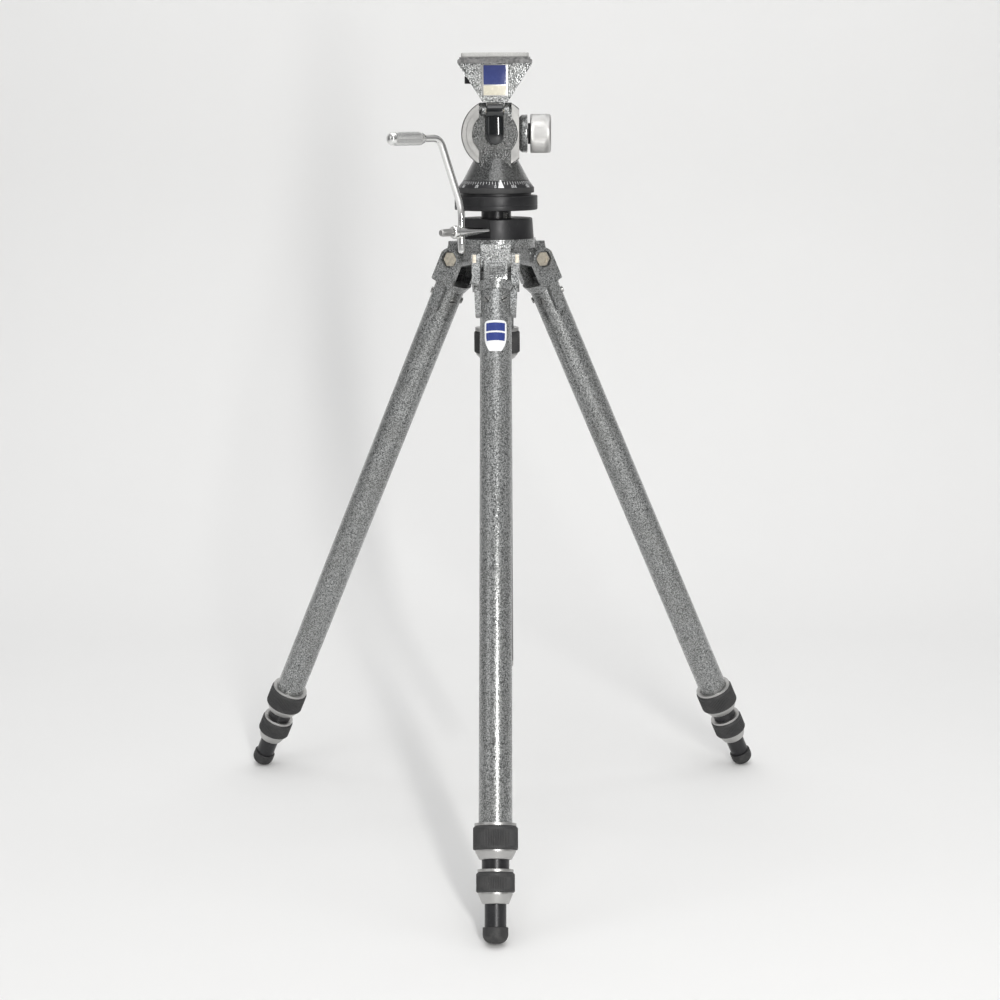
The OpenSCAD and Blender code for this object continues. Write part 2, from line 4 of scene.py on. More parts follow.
import bmesh
import bpy
from mathutils import Matrix, Vector


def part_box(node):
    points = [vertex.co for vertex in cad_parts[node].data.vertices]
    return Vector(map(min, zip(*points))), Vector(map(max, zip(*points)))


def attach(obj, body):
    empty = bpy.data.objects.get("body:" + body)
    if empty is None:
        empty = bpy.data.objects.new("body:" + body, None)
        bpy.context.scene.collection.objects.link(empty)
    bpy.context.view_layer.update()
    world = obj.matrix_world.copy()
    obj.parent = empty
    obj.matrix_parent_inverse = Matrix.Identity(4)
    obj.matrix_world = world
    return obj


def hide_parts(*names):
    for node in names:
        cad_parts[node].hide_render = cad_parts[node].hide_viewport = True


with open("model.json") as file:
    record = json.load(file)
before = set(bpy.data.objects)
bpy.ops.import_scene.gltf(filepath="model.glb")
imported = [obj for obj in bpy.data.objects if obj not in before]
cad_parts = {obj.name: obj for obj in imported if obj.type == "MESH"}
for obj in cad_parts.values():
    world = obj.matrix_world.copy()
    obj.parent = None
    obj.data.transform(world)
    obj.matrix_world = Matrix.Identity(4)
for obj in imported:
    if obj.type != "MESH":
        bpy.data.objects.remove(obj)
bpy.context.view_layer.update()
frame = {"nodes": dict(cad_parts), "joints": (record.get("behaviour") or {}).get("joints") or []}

MM = 0.001
LEGS = ("front", "right", "left")
NODES = frame["nodes"]
JOINTS = {joint["name"]: joint for joint in frame["joints"]}

# sizes in mm that several functions share
TUBE_R = {"upper_tube": 14.0, "middle_tube": 11.35, "lower_tube": 8.95}
SCREW_DOWN = 38.6
SCALE_TOP_R = 29.8
# degrees round the column
SCALE_TURN = -90.0
INDEX_AZIMUTH = 278.6


# ---------------------------------------------------------------- places

def place_at(origin, x, z):
    """A matrix whose origin, X axis and Z axis are given; Y completes it."""
    z = Vector(z).normalized()
    x = Vector(x).normalized()
    y = z.cross(x)
    rotation = Matrix((x, y, z)).transposed().to_4x4()
    return Matrix.Translation(Vector(origin)) @ rotation


def leg_place(leg):
    """A leg's own frame: pivot at the origin, X outwards, the leg running down -Z."""
    down = Vector(JOINTS[f"{leg}_middle_slide"]["axis"])
    out = JOINTS[f"{leg}_tab_pull"]["axis"]
    return place_at(JOINTS[f"{leg}_leg_fold"]["pos_m"], out, -down)


COLUMN = Matrix.Translation(Vector((*JOINTS["pan_turn"]["pos_m"][:2], 0)))
SPINDLE = place_at(JOINTS["crank_turn"]["pos_m"], (0, 0, 1), JOINTS["crank_turn"]["axis"])
CLAMP = place_at(JOINTS["side_tilt"]["pos_m"], (0, 0, 1), JOINTS["clamp_turn"]["axis"])


def reach(node, place):
    """Largest radius, and lowest and highest height, of a CAD node around a place's Z axis, in mm."""
    inverse = place.inverted()
    points = [inverse @ vertex.co for vertex in NODES[node].data.vertices]
    heights = [point.z / MM for point in points]
    return max(point.xy.length for point in points) / MM, min(heights), max(heights)


def box_mm(node):
    """Lowest and highest corner of a CAD node, in mm."""
    low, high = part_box(node)
    return low / MM, high / MM


# ---------------------------------------------------------------- meshes

def linked(name, data):
    """A new object, put in the scene."""
    made = bpy.data.objects.new(name, data)
    bpy.context.scene.collection.objects.link(made)
    return made


def smooth(mesh, crease):
    """Smooth faces, with creases at edges that are sharper than an angle in degrees."""
    mesh.polygons.foreach_set("use_smooth", [True] * len(mesh.polygons))
    mesh.set_sharp_from_angle(angle=math.radians(crease))


def new_piece(name, mesh, place, body, material, instead_of=None, crease=32):
    """Links a smooth mesh with creased edges, which rides on a body and may stand for a CAD node."""
    if body.endswith(("_lower", "_lower_lock")):
        # upright axes keep the boxes of the slanted pieces near the ground tight
        mesh.transform(place)
        place = Matrix.Identity(4)
    piece = linked(name, mesh)
    piece.matrix_world = place
    mesh.materials.append(material)
    smooth(mesh, crease)
    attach(piece, body)
    if instead_of:
        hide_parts(instead_of)
    return piece


def mesh_from(name, vertices, faces):
    """A mesh in mm turned to metres, with its normals outwards and no doubled points."""
    mesh = bpy.data.meshes.new(name)
    mesh.from_pydata([Vector(v) * MM for v in vertices], [], faces)
    work = bmesh.new()
    work.from_mesh(mesh)
    bmesh.ops.remove_doubles(work, verts=work.verts, dist=1e-7)
    bmesh.ops.recalc_face_normals(work, faces=work.faces)
    work.to_mesh(mesh)
    work.free()
    return mesh


def stack_faces(base, count, layers):
    """Faces round layers of points that follow one another from a first index, closed at both ends."""
    faces = []
    for layer in range(layers - 1):
        a = base + layer * count
        for i in range(count):
            n = (i + 1) % count
            faces.append((a + i, a + n, a + count + n, a + count + i))
    faces.append(tuple(range(base, base + count)))
    last = base + (layers - 1) * count
    faces.append(tuple(range(last, last + count)))
    return faces


def soften(outline, size, closed=True, steps=3):
    """Rounds an outline's corners. A point may carry its own size as a third value."""
    count = len(outline)
    rounded = []
    for i, point in enumerate(outline):
        corner = Vector(point[:2])
        if not closed and i in (0, count - 1):
            rounded.append(corner)
            continue
        before = Vector(outline[i - 1][:2]) - corner
        after = Vector(outline[(i + 1) % count][:2]) - corner
        cut = point[2] if len(point) > 2 else size
        cut = min(cut, before.length * 0.45, after.length * 0.45)
        if cut < 0.01 or before.angle(after) > math.radians(172):
            rounded.append(corner)
            continue
        start = corner + before.normalized() * cut
        end = corner + after.normalized() * cut
        for step in range(steps + 1):
            t = step / steps
            rounded.append((1 - t) ** 2 * start + 2 * t * (1 - t) * corner + t * t * end)
    return rounded


def turned(name, outline, closed=True, segments=96, wave=None):
    """A turned mesh around Z from (radius, height) points. wave(angle, radius, height) may change a radius."""
    vertices = []
    rings = []
    for radius, height in outline:
        if radius < 1e-6:
            rings.append([len(vertices)])
            vertices.append((0, 0, height))
            continue
        rings.append(list(range(len(vertices), len(vertices) + segments)))
        for s in range(segments):
            angle = 2 * math.pi * s / segments
            r = wave(angle, radius, height) if wave else radius
            vertices.append((r * math.cos(angle), r * math.sin(angle), height))
    pairs = list(zip(rings, rings[1:]))
    if closed:
        pairs.append((rings[-1], rings[0]))
    faces = []
    for lower, upper in pairs:
        for s in range(segments):
            n = (s + 1) % segments
            if len(lower) == 1 and len(upper) == 1:
                continue
            if len(lower) == 1:
                faces.append((lower[0], upper[n], upper[s]))
            elif len(upper) == 1:
                faces.append((lower[s], lower[n], upper[0]))
            else:
                faces.append((lower[s], lower[n], upper[n], upper[s]))
    return mesh_from(name, vertices, faces)


def grooves(count, depth, low, high, radius, fade=1.2, sharp=1.0):
    """A wave that cuts grooves along a turned surface between two heights."""
    def wave(angle, r, height):
        if r < radius - 0.8:
            return r
        inside = min(height - low, high - height) / fade
        inside = max(0.0, min(1.0, inside))
        cut = (0.5 + 0.5 * math.cos(count * angle)) ** sharp
        return r - depth * cut * inside
    return wave


def levels(low, high, step):
    """Evenly spaced heights from one to the other, ends left out."""
    count = max(2, round(abs(high - low) / step))
    return [low + (high - low) * i / count for i in range(1, count)]


def swept(name, path, radii, sides=32):
    """A round bar along a path of points in mm, with a radius at each point."""
    path = [Vector(p) for p in path]
    vertices = []
    side = None
    for i, point in enumerate(path):
        ahead = path[min(i + 1, len(path) - 1)] - path[max(i - 1, 0)]
        ahead.normalize()
        if side is None:
            side = ahead.orthogonal().normalized()
        side = (side - ahead * side.dot(ahead)).normalized()
        other = ahead.cross(side)
        for s in range(sides):
            angle = 2 * math.pi * s / sides
            vertices.append(point + radii[i] * (math.cos(angle) * side + math.sin(angle) * other))
    return mesh_from(name, vertices, stack_faces(0, sides, len(path)))


def slab(name, outline, low, high, rounding, steps=3):
    """A plate from an outline of (x, y) points, between two heights, with rounded upper and lower edges."""
    centre = sum((Vector(p[:2]) for p in outline), Vector((0, 0))) / len(outline)
    layers = []
    for step in range(steps + 1):
        angle = math.pi / 2 * step / steps
        layers.append((low + rounding * (1 - math.sin(angle)), rounding * (1 - math.cos(angle))))
    layers = layers[::-1] + [(high - (z - low), inset) for z, inset in layers]
    layers.sort(key=lambda layer: layer[0])
    vertices = []
    count = len(outline)
    for height, inset in layers:
        for i, point in enumerate(outline):
            p = Vector(point[:2])
            before = (p - Vector(outline[i - 1][:2])).normalized()
            after = (Vector(outline[(i + 1) % count][:2]) - p).normalized()
            inward = Vector((-(before + after).y, (before + after).x)).normalized()
            if inward.dot(centre - p) < 0:
                inward = -inward
            vertices.append((*(p + inward * inset), height))
    return mesh_from(name, vertices, stack_faces(0, count, len(layers)))


# ---------------------------------------------------------------- materials

class Paint:
    """A procedural material, with short calls for the nodes that these surfaces need."""

    def __init__(self, name, metallic=0.0, roughness=0.5, colour=(0.5, 0.5, 0.5), coat=0.0, coat_roughness=0.1,
                 specular=0.5):
        self.material = bpy.data.materials.new(name)
        self.material.use_nodes = True
        self.tree = self.material.node_tree
        self.shader = self.tree.nodes["Principled BSDF"]
        for socket, value in (("Metallic", metallic), ("Roughness", roughness), ("Base Color", (*colour, 1)),
                              ("Coat Weight", coat), ("Coat Roughness", coat_roughness),
                              ("Specular IOR Level", specular)):
            self.shader.inputs[socket].default_value = value
        self.place = self.node("ShaderNodeTexCoord").outputs["Object"]

    def node(self, kind, **inputs):
        made = self.tree.nodes.new(kind)
        for name, value in inputs.items():
            self.feed(made.inputs[name], value)
        return made

    def feed(self, socket, value):
        if isinstance(value, bpy.types.NodeSocket):
            self.tree.links.new(value, socket)
        else:
            socket.default_value = value

    def scaled(self, x, y, z):
        made = self.node("ShaderNodeMapping", Vector=self.place)
        made.inputs["Scale"].default_value = (x, y, z)
        return made.outputs["Vector"]

    def noise(self, scale, detail=4.0, rough=0.5, vector=None):
        made = self.node("ShaderNodeTexNoise", Vector=vector or self.place, Scale=scale, Detail=detail,
                         Roughness=rough)
        return made.outputs["Fac"]

    def cells(self, scale, vector=None, feature="F1"):
        made = self.node("ShaderNodeTexVoronoi", Vector=vector or self.place, Scale=scale)
        made.feature = feature
        return made.outputs["Distance"]

    def shift(self, amount, scale):
        """The place, moved about by noise, so that a pattern on it isn't regular."""
        noise = self.node("ShaderNodeTexNoise", Vector=self.place, Scale=scale).outputs["Color"]
        centred = self.maths("SUBTRACT", noise, (0.5, 0.5, 0.5), "Vector")
        sized = self.maths("MULTIPLY", centred, (amount, amount, amount), "Vector")
        return self.maths("ADD", self.place, sized, "Vector")

    def maths(self, operation, a, b, result="Value"):
        """Works on numbers, or on vectors if the result is to be a Vector."""
        made = self.node("ShaderNodeVectorMath" if result == "Vector" else "ShaderNodeMath")
        made.operation = operation
        self.feed(made.inputs[0], a)
        self.feed(made.inputs[1], b)
        return made.outputs[result]

    def ramp(self, value, *stops):
        """Colours or numbers along a value: each stop is (position, number or colour)."""
        made = self.node("ShaderNodeValToRGB", Fac=value)
        elements = made.color_ramp.elements
        while len(elements) < len(stops):
            elements.new(0.5)
        for element, (position, colour) in zip(elements, stops):
            element.position = position
            if isinstance(colour, (int, float)):
                colour = (colour, colour, colour)
            element.color = (*colour, 1)
        return made.outputs["Color"]

    def mix(self, factor, a, b):
        made = self.node("ShaderNodeMix")
        made.data_type = "RGBA"
        self.feed(made.inputs["Factor"], factor)
        for socket, value in ((made.inputs["A"], a), (made.inputs["B"], b)):
            sockets = [s for s in made.inputs if s.name == socket.name and s.type == "RGBA"]
            value = (*value, 1) if isinstance(value, tuple) else value
            self.feed(sockets[0], value)
        return [s for s in made.outputs if s.type == "RGBA"][0]

    def towards(self, value, start, end, amount, a, b):
        """Colour a, turning by up to an amount into colour b as a value rises from start to end."""
        return self.mix(self.ramp(value, (start, 0.0), (end, amount)), a, b)

    def colour(self, value):
        self.feed(self.shader.inputs["Base Color"], value)

    def roughness(self, value):
        self.feed(self.shader.inputs["Roughness"], value)

    def bump(self, height, strength, distance, below=None):
        """Raises the surface by a height, on top of another bump if there is one."""
        made = self.node("ShaderNodeBump", Height=height, Strength=strength, Distance=distance)
        if below is not None:
            self.feed(made.inputs["Normal"], below)
        self.feed(self.shader.inputs["Normal"], made.outputs["Normal"])
        return made.outputs["Normal"]


def hammertone(name, light=1.0):
    """Grey hammer-finish enamel: glossy pebbles about a millimetre across, with dark seams between them. The
    light factor is painted light: it scales the whole colour, so that copies of this one paint are lighter or
    darker as their parts look more lit or more shaded.
    """
    paint = Paint(name, metallic=0.55, roughness=0.3, coat=0.6, coat_roughness=0.07)
    moved = paint.shift(0.001, 700)
    pebbles = paint.cells(800, moved, "SMOOTH_F1")
    fine = paint.noise(1700, 3)
    cloud = paint.noise(45, 3)

    def lit(red, rest):
        return (red * light, rest * light, rest * light)

    tone = paint.ramp(pebbles, (0.12, lit(0.52, 0.53)), (0.36, lit(0.23, 0.24)), (0.6, lit(0.04, 0.045)))
    speck = paint.towards(fine, 0.5, 0.62, 0.7, tone, lit(0.6, 0.6))
    grime = paint.towards(cloud, 0.35, 0.75, 0.3, speck, (0.13, 0.13, 0.12))
    paint.colour(grime)
    paint.roughness(paint.ramp(cloud, (0.3, 0.22), (0.7, 0.34)))
    soft = paint.bump(cloud, 0.15, 0.0008)
    paint.bump(paint.maths("MULTIPLY", pebbles, -1.0), 0.4, 0.0004, soft)
    return paint.material


def turned_metal(name, colour, roughness, line_scale=2600.0, marks=0.25):
    """Bare turned metal: fine rings around its own Z axis, smudges and a few dull marks."""
    paint = Paint(name, metallic=1.0, roughness=roughness, colour=colour)
    rings = paint.noise(1.0, 2, vector=paint.scaled(12, 12, line_scale))
    smudge = paint.noise(70, 5, 0.6)
    dull = tuple(c * 0.72 for c in colour)
    shaded = paint.towards(smudge, 0.45, 0.8, marks, colour, dull)
    paint.colour(paint.towards(rings, 0.35, 0.75, 0.25, shaded, tuple(c * 0.85 for c in colour)))
    paint.roughness(paint.ramp(smudge, (0.3, roughness * 0.85), (0.75, roughness * 1.35)))
    paint.bump(rings, 0.18, 0.00006)
    return paint.material


def chrome(name):
    """Old bright chrome: nearly a mirror, with faint wipes and small pits."""
    paint = Paint(name, metallic=1.0, roughness=0.1, colour=(0.80, 0.80, 0.79))
    wipes = paint.noise(1.0, 3, vector=paint.scaled(300, 300, 40))
    pits = paint.cells(900)
    base = paint.towards(wipes, 0.5, 0.8, 0.3, (0.82, 0.82, 0.81), (0.55, 0.54, 0.52))
    paint.colour(paint.mix(paint.ramp(pits, (0.03, 0.7), (0.08, 0.0)), base, (0.25, 0.22, 0.18)))
    paint.roughness(paint.ramp(wipes, (0.35, 0.07), (0.8, 0.22)))
    paint.bump(wipes, 0.08, 0.0001)
    return paint.material


def rubber(name, tone=0.028, dust=0.12):
    """Matt moulded rubber with a fine skin, a little dust and rubbed patches."""
    paint = Paint(name, roughness=0.62, colour=(tone, tone, tone * 1.03), specular=0.45)
    skin = paint.noise(2600, 3)
    rubbed = paint.noise(90, 5, 0.65)
    base = paint.towards(skin, 0.3, 0.7, 0.5, (tone, tone, tone * 1.04),
                     (tone * 1.8, tone * 1.8, tone * 1.8))
    paint.colour(paint.towards(rubbed, 0.5, 0.85, dust, base, (0.3, 0.29, 0.27)))
    paint.roughness(paint.ramp(rubbed, (0.3, 0.5), (0.75, 0.75)))
    paint.bump(skin, 0.3, 0.00012)
    return paint.material


def black_metal(name, tone=0.02, roughness=0.34, scratches=0.35):
    """Black anodised or painted metal, with long faint scratches and rubbed patches."""
    paint = Paint(name, metallic=0.35, roughness=roughness, colour=(tone, tone, tone * 1.08), specular=0.5)
    long_lines = paint.noise(1.0, 2, vector=paint.scaled(2200, 2200, 60))
    rubbed = paint.noise(60, 5, 0.6)
    grain = paint.noise(3000, 2)
    base = paint.towards(rubbed, 0.4, 0.8, 0.6, (tone, tone, tone * 1.1),
                     (tone * 2.1, tone * 2.1, tone * 2.2))
    paint.colour(paint.towards(long_lines, 0.66, 0.74, scratches, base, (0.22, 0.22, 0.23)))
    paint.roughness(paint.ramp(rubbed, (0.3, roughness * 0.8), (0.75, roughness * 1.3)))
    paint.bump(grain, 0.12, 0.00005)
    return paint.material


def glossy(name, colour, roughness=0.16, coat=0.6):
    """Moulded glossy plastic or enamel, with very slight waves, wipes and dust."""
    paint = Paint(name, roughness=roughness, colour=colour, coat=coat, coat_roughness=0.08)
    wave = paint.noise(160, 2)
    wipes = paint.noise(420, 4, 0.6)
    lighter = tuple(min(1.0, c * 1.25 + 0.008) for c in colour)
    paint.colour(paint.towards(wipes, 0.45, 0.8, 0.5, colour, lighter))
    paint.roughness(paint.ramp(wipes, (0.35, roughness * 0.8), (0.8, roughness * 1.8)))
    paint.bump(wave, 0.12, 0.0003)
    return paint.material


def nickel(name, colour=(0.74, 0.68, 0.57), roughness=0.42):
    """Plated steel gone warm and dull with age."""
    paint = Paint(name, metallic=1.0, roughness=roughness, colour=colour)
    stain = paint.noise(350, 5, 0.65)
    pits = paint.noise(2400, 3)
    paint.colour(paint.towards(stain, 0.4, 0.72, 0.8, colour, tuple(c * 0.55 for c in colour)))
    paint.roughness(paint.ramp(stain, (0.3, roughness * 0.8), (0.75, roughness * 1.5)))
    paint.bump(pits, 0.25, 0.00008)
    return paint.material


def pad_top(name):
    """Light grey cork-rubber pad, with a fine pebble grain and darker wear."""
    paint = Paint(name, roughness=0.72, colour=(0.42, 0.42, 0.41))
    grain = paint.cells(1500)
    worn = paint.noise(80, 5, 0.6)
    base = paint.towards(grain, 0.1, 0.6, 0.6, (0.60, 0.60, 0.585), (0.38, 0.38, 0.37))
    paint.colour(paint.towards(worn, 0.45, 0.8, 0.6, base, (0.36, 0.36, 0.35)))
    paint.bump(grain, 0.4, 0.0002)
    return paint.material


def studio_white(name, colour):
    """Pale floor and wall, with a hardly visible mottle. Seen from behind, they are clear."""
    paint = Paint(name, roughness=0.7, colour=colour, specular=0.3)
    mottle = paint.noise(6, 4)
    paint.colour(paint.mix(mottle, colour, tuple(c * 0.985 for c in colour)))
    clear = paint.node("ShaderNodeBsdfTransparent")
    sided = paint.node("ShaderNodeMixShader", Fac=paint.node("ShaderNodeNewGeometry").outputs["Backfacing"])
    paint.feed(sided.inputs[1], paint.shader.outputs["BSDF"])
    paint.feed(sided.inputs[2], clear.outputs["BSDF"])
    paint.feed(paint.tree.nodes["Material Output"].inputs["Surface"], sided.outputs["Shader"])
    return paint.material


HAMMER = hammertone("hammertone_grey", 0.95)
# Copy at 0.9: painted light level for the camera platform and the tab's ridge and edge.
HAMMER_PAINTED_LIT = hammertone("hammertone_painted_lit", 0.9)
# Copy at 0.6: painted shade for the housing sleeve, the clamp boss and the tab's plate.
HAMMER_PAINTED_SHADE = hammertone("hammertone_painted_shade", 0.6)
# Copy at 0.28: painted shade for the pan base, whose cone lies in shade.
HAMMER_BASE_PAINTED_SHADE = hammertone("hammertone_base_painted_shade", 0.28)
SATIN = turned_metal("satin_aluminium", (0.49, 0.486, 0.478), 0.36)
DRUM = turned_metal("drum_aluminium", (0.29, 0.288, 0.283), 0.42)
CHROME = chrome("chrome_plate")
RUBBER = rubber("black_rubber")
FOOT_RUBBER = rubber("foot_rubber", tone=0.022, dust=0.2)
BLACK = black_metal("black_anodised")
DARK_PLATE = black_metal("black_enamel", tone=0.016, roughness=0.42, scratches=0.2)
GLOSS = glossy("black_gloss", (0.004, 0.005, 0.006), 0.1, coat=0.6)
NICKEL = nickel("aged_nickel")
STEEL = nickel("rack_steel", (0.45, 0.45, 0.44), 0.35)
BAND = nickel("band_grey", (0.16, 0.16, 0.16), 0.5)
BRASS = nickel("pinion_brass", (0.70, 0.52, 0.24), 0.3)
PAD = pad_top("pad_grey")
BLUE = glossy("blue_enamel", (0.022, 0.042, 0.21), 0.14)
BADGE_BLUE = glossy("badge_blue_enamel", (0.04, 0.055, 0.19), 0.12)
CREAM = glossy("cream_enamel", (0.70, 0.66, 0.54), 0.2)
WHITE = glossy("white_enamel", (0.80, 0.81, 0.82), 0.3, coat=0.2)


# ---------------------------------------------------------------- CAD nodes that stay

def finish_node(node, material, bevel):
    """Gives a CAD node its material, and rounds its sharp edges by a bevel in mm."""
    piece = NODES[node]
    mesh = piece.data
    mesh.materials.clear()
    mesh.materials.append(material)
    smooth(mesh, 30)
    if bevel:
        rounding = piece.modifiers.new("rounded_edges", "BEVEL")
        rounding.width = bevel * MM
        rounding.segments = 3
        rounding.limit_method = "ANGLE"
        rounding.angle_limit = math.radians(38)
        rounding.use_clamp_overlap = True
        rounding.harden_normals = True


def finish_nodes():
    kept = [("spider", HAMMER, 0.6), ("pivot_bolts", NICKEL, 0.3),
            # housing_sleeve: the painted-shade copy of the hammertone
            ("gear_housing", DARK_PLATE, 0.3), ("housing_sleeve", HAMMER_PAINTED_SHADE, 0),
            ("column_tube", BLACK, 0), ("column_rack", STEEL, 0),
            ("head_stud", STEEL, 0.3), ("pinion_shaft", BRASS, 0),
            # pan_base: the much darker painted-shade copy of the hammertone
            ("pan_base", HAMMER_BASE_PAINTED_SHADE, 0.4), ("tilt_axle", NICKEL, 0.3),
            ("drum_body", DRUM, 0.3), ("yoke", HAMMER, 0.5),
            # camera_platform: the painted-light copy of the hammertone
            ("yoke_pin", NICKEL, 0.3), ("camera_platform", HAMMER_PAINTED_LIT, 0.4),
            ("camera_screw", BLACK, 0.5)]
    for leg in LEGS:
        kept.append((f"{leg}_fork", HAMMER, 0.6))
    for node, material, bevel in kept:
        finish_node(node, material, bevel)
    platform_band()


def platform_band():
    """The band and the table over the platform's wedge are a smoother grey than the wedge itself."""
    piece = NODES["camera_platform"]
    piece.data.materials.append(BAND)
    band_low = 0.7098
    for face in piece.data.polygons:
        if (piece.matrix_world @ face.center).z > band_low:
            face.material_index = 1


# ---------------------------------------------------------------- legs

def lock_nut(node, grip_node, place, tube_r, inner_r, body):
    """Turned nut of a twist lock: a bright lip above the grip and a satin cone below it."""
    lip_r, low, high = reach(node, place)
    _, grip_low, grip_high = reach(grip_node, place)
    waist = lip_r - 1.1
    outline = [(tube_r + 0.1, high, 0.1), (lip_r, high), (lip_r, grip_high), (waist, grip_high, 0.05),
               (waist, grip_low, 0.05), (waist + 0.5, grip_low), (waist + 0.3, grip_low - 1.7),
               (inner_r + 2.3, low + 0.5), (inner_r + 1.6, low), (inner_r + 0.35, low),
               (inner_r + 0.35, low + 4.5, 0.05), (tube_r + 0.1, low + 4.5, 0.05)]
    mesh = turned(node, soften(outline, 0.35))
    new_piece(f"{node}_turned", mesh, place, body, SATIN, node)


def lock_grip(node, place, body):
    """Rubber sleeve of a twist lock, with moulded grooves along it."""
    pitch = 1.5
    grip_r, low, high = reach(node, place)
    inner = grip_r - 2.2
    groove_low, groove_high = low + 1.6, high - 2.6
    rise = [(grip_r, h) for h in levels(low + 0.9, high - 1.7, 1.3)]
    outline = [(inner, low, 0.05), (grip_r - 0.8, low), (grip_r, low + 0.8), *rise, (grip_r, high - 1.5),
               (grip_r - 1.4, high), (inner, high, 0.05)]
    count = 2 * round(math.pi * grip_r / pitch)
    wave = grooves(count, 0.45, groove_low, groove_high, grip_r, sharp=2.0)
    mesh = turned(node, soften(outline, 0.5), segments=count * 6, wave=wave)
    new_piece(f"{node}_ribbed", mesh, place, body, RUBBER, node, crease=50)


def leg_tube(leg, part, place, wall, bush=0, collet=0, outside=None, inside=None):
    """One tube of a leg, which may have a guide bush at its top and a collet at its end."""
    body, slot, material = {"upper_tube": ("leg", "hammertone_paint", HAMMER),
                            "middle_tube": ("middle", "black_anodised", BLACK),
                            "lower_tube": ("lower", "black_anodised", BLACK)}[part]
    node = f"{leg}_{part}"
    _, low, high = reach(node, place)
    radius = TUBE_R[part]
    bore = radius - wall

    def ring(suffix, inner, outer, bottom, top, rounding, look):
        outline = [(inner, bottom), (outer, bottom), (outer, top), (inner, top)]
        mesh = turned(node, soften(outline, rounding))
        new_piece(f"{node}_{suffix}", mesh, place, f"{leg}_{body}", look, node)

    ring("wall", bore, radius, low + collet, high - bush, 0.25, material)
    if bush:
        ring("guide_bush", bore - 0.6, outside, high - bush, high, 0.8, RUBBER)
    if collet:
        ring("end_collet", inside + 0.1, radius - 0.2, low, low + collet, 0.4, RUBBER)


def leg_tubes(leg, place):
    """The three tubes of a leg, each of which slides in the one above it."""
    upper_r, middle_r, lower_r = TUBE_R.values()
    upper_wall, middle_wall, lower_wall = 1.2, 1.1, 1.0
    leg_tube(leg, "upper_tube", place, upper_wall, collet=7, inside=middle_r)
    leg_tube(leg, "middle_tube", place, middle_wall, 14, 6, upper_r - 1.3, lower_r)
    leg_tube(leg, "lower_tube", place, lower_wall, bush=12, outside=middle_r - 1.2)


def foot(leg, place):
    """Rubber foot: a short collar with a rounded sole."""
    node = f"{leg}_foot"
    radius, low, high = reach(node, place)
    round_r = 7.5
    arc = []
    for step in range(13):
        angle = math.pi / 2 * step / 12
        arc.append((radius - round_r + round_r * math.cos(angle), low + round_r - round_r * math.sin(angle)))
    outline = [(TUBE_R["lower_tube"], high), (radius - 0.5, high), (radius, high - 0.5), *arc, (0, low)]
    inner = [(0, low + 5.6), (TUBE_R["lower_tube"], low + 5.6)]
    mesh = turned(node, [*outline, *inner])
    new_piece(f"{node}_moulded", mesh, place, f"{leg}_lower", FOOT_RUBBER, node)


def slotted_screw(name, place, body):
    """Cheese-head screw: two half heads either side of a slot, on a sunk floor."""
    head_r, height, slot_w = 2.9, 1.5, 0.9
    vertices = []
    faces = []
    steps = 16
    for side in (1, -1):
        outline = []
        start = math.asin(slot_w / 2 / head_r)
        for step in range(steps + 1):
            angle = start + (math.pi - 2 * start) * step / steps
            outline.append((head_r * math.cos(angle), side * head_r * math.sin(angle)))
        base = len(vertices)
        layers = ((-1.0, 1.0), (height - 0.5, 1.0), (height - 0.15, 0.95), (height, 0.86))
        for z, shrink in layers:
            for x, y in outline:
                vertices.append((x * shrink, side * slot_w / 2 + (y - side * slot_w / 2) * shrink, z))
        faces += stack_faces(base, len(outline), len(layers))
    base = len(vertices)
    for z in (-1.0, height - 0.9):
        for x, y in ((1, 1), (-1, 1), (-1, -1), (1, -1)):
            vertices.append((x * head_r * 0.96, y * slot_w / 2, z))
    mesh = mesh_from(name, vertices, faces + stack_faces(base, 4, 2))
    new_piece(name, mesh, place, body, STEEL, crease=25)
    # The slot's walls and floor get black enamel: painted shade in the slot.
    mesh.materials.append(DARK_PLATE)
    for face in mesh.polygons:
        corners = [mesh.vertices[i].co / MM for i in face.vertices]
        if all(abs(c.y) < slot_w / 2 + 0.01 for c in corners):
            face.material_index = 1


def fork_screws(leg, place):
    """Four small screws through the tube beside the fork's straps, two outside and two inside."""
    for i, (side, slot_turn) in enumerate(((33, 35), (-33, -50), (147, 10), (-147, 80))):
        angle = math.radians(side)
        out = Vector((math.cos(angle), math.sin(angle), 0))
        spot = place @ Matrix.Translation((out * TUBE_R["upper_tube"] + Vector((0, 0, -SCREW_DOWN))) * MM)
        turn = place_at((0, 0, 0), (-math.sin(angle), math.cos(angle), 0), out)
        tilt = Matrix.Rotation(math.radians(slot_turn), 4, "Z")
        slotted_screw(f"{leg}_fork_screw_{i + 1}", spot @ turn @ tilt, f"{leg}_leg")


def across_leg(place):
    """A place for a slab whose outline is drawn in a leg's side view: X outwards and Y up the leg."""
    return place @ Matrix.Rotation(math.radians(90), 4, "X")


